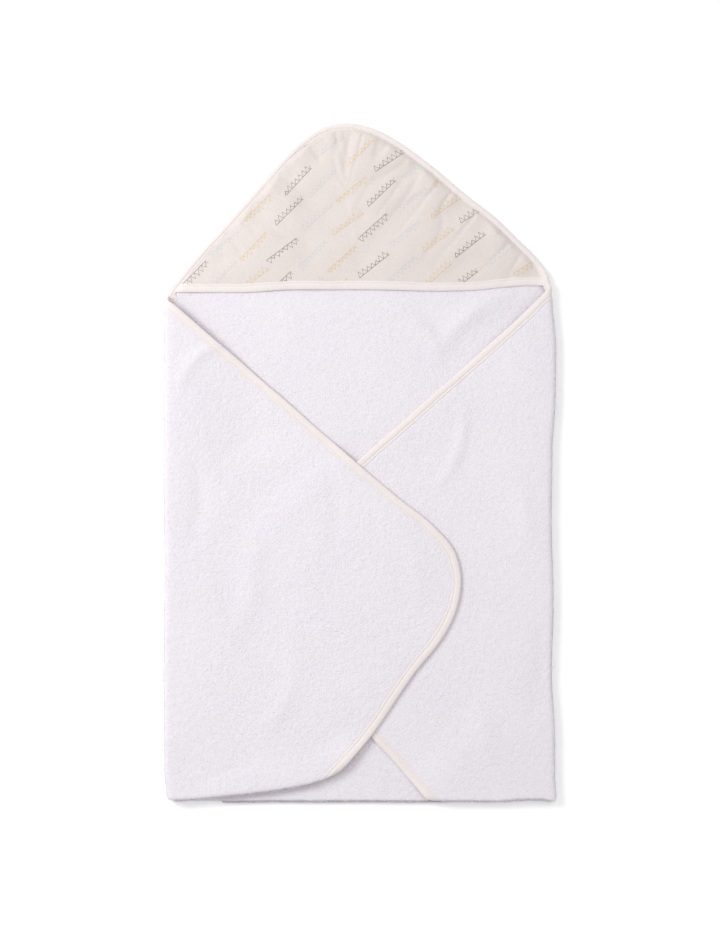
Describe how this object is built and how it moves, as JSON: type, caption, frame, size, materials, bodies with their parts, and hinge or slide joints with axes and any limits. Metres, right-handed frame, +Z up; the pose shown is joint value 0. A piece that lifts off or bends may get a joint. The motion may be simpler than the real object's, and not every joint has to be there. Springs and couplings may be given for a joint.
{
  "type": "hooded baby towel",
  "caption": "Square terry baby towel with a lined corner hood and bound edges, folded flat; its sides and bottom corner open out on fold hinges.",
  "frame": {"origin": "on the resting surface, under the middle of the folded towel's box", "axes": "+Z up from the resting surface, +Y towards the hood's corner, +X to the right as seen from above"},
  "size_m": [0.423, 0.7371, 0.0147],
  "materials": {
    "terry": "soft looped terry pile, off-white",
    "muslin_print": null,
    "muslin_plain": "fine matte muslin, plain warm white",
    "binding_tape": "smooth cream bias tape",
    "thread": "cream sewing thread"
  },
  "bodies": {
    "back": {"back_panel": "terry", "hood_panel": "muslin_print", "hood_lining": "muslin_plain", "hood_edge_binding": "binding_tape", "hood_edge_stitching": "thread", "hood_rim_binding": "binding_tape", "hood_rim_stitching": "thread", "left_fold": "terry", "right_fold": "terry", "bottom_fold": "terry"},
    "left_side": {"left_flap": "terry", "left_flap_binding": "binding_tape", "left_flap_stitching": "thread", "left_flap_fold": "terry"},
    "left_corner": {"left_turnup": "terry", "left_turnup_binding": "binding_tape", "left_turnup_stitching": "thread"},
    "right_side": {"right_flap": "terry", "right_flap_binding": "binding_tape", "right_flap_stitching": "thread", "right_flap_fold": "terry"},
    "right_corner": {"right_turnup": "terry", "right_turnup_binding": "binding_tape", "right_turnup_stitching": "thread"},
    "bottom_corner": {"bottom_flap": "terry", "bottom_flap_binding": "binding_tape", "bottom_flap_stitching": "thread"}
  },
  "joints": [
    {"name": "left_side_open", "type": "hinge", "parent": "back", "child": "left_side", "pos_m": [-0.20415, 0, 0.00735], "axis": [0, -1, 0], "range_deg": [0, 180], "deforming": ["left_fold"]},
    {"name": "right_side_open", "type": "hinge", "parent": "back", "child": "right_side", "pos_m": [0.20565, 0, 0.00585], "axis": [0, 1, 0], "range_deg": [0, 180], "deforming": ["right_fold", "right_flap", "right_flap_binding", "right_flap_stitching", "right_flap_fold"]},
    {"name": "bottom_corner_open", "type": "hinge", "parent": "back", "child": "bottom_corner", "pos_m": [0, -0.36565, 0.00285], "axis": [1, 0, 0], "range_deg": [0, 180], "deforming": ["bottom_fold", "bottom_flap", "bottom_flap_binding", "bottom_flap_stitching"]},
    {"name": "left_corner_open", "type": "hinge", "parent": "left_side", "child": "left_corner", "pos_m": [-0.20415, -0.35665, 0.01035], "axis": [-1, 0, 0], "range_deg": [0, 180], "deforming": ["left_flap_fold", "left_turnup", "left_turnup_binding", "left_turnup_stitching"]},
    {"name": "right_corner_open", "type": "hinge", "parent": "right_side", "child": "right_corner", "pos_m": [0.20565, -0.36115, 0.00885], "axis": [-1, 0, 0], "range_deg": [0, 180], "deforming": ["right_turnup", "right_turnup_binding", "right_turnup_stitching"]}
  ],
  "couplings": [
    {"joint": "left_corner_open", "follows": "bottom_corner_open", "ratio": 1},
    {"joint": "right_corner_open", "follows": "bottom_corner_open", "ratio": 1}
  ]
}
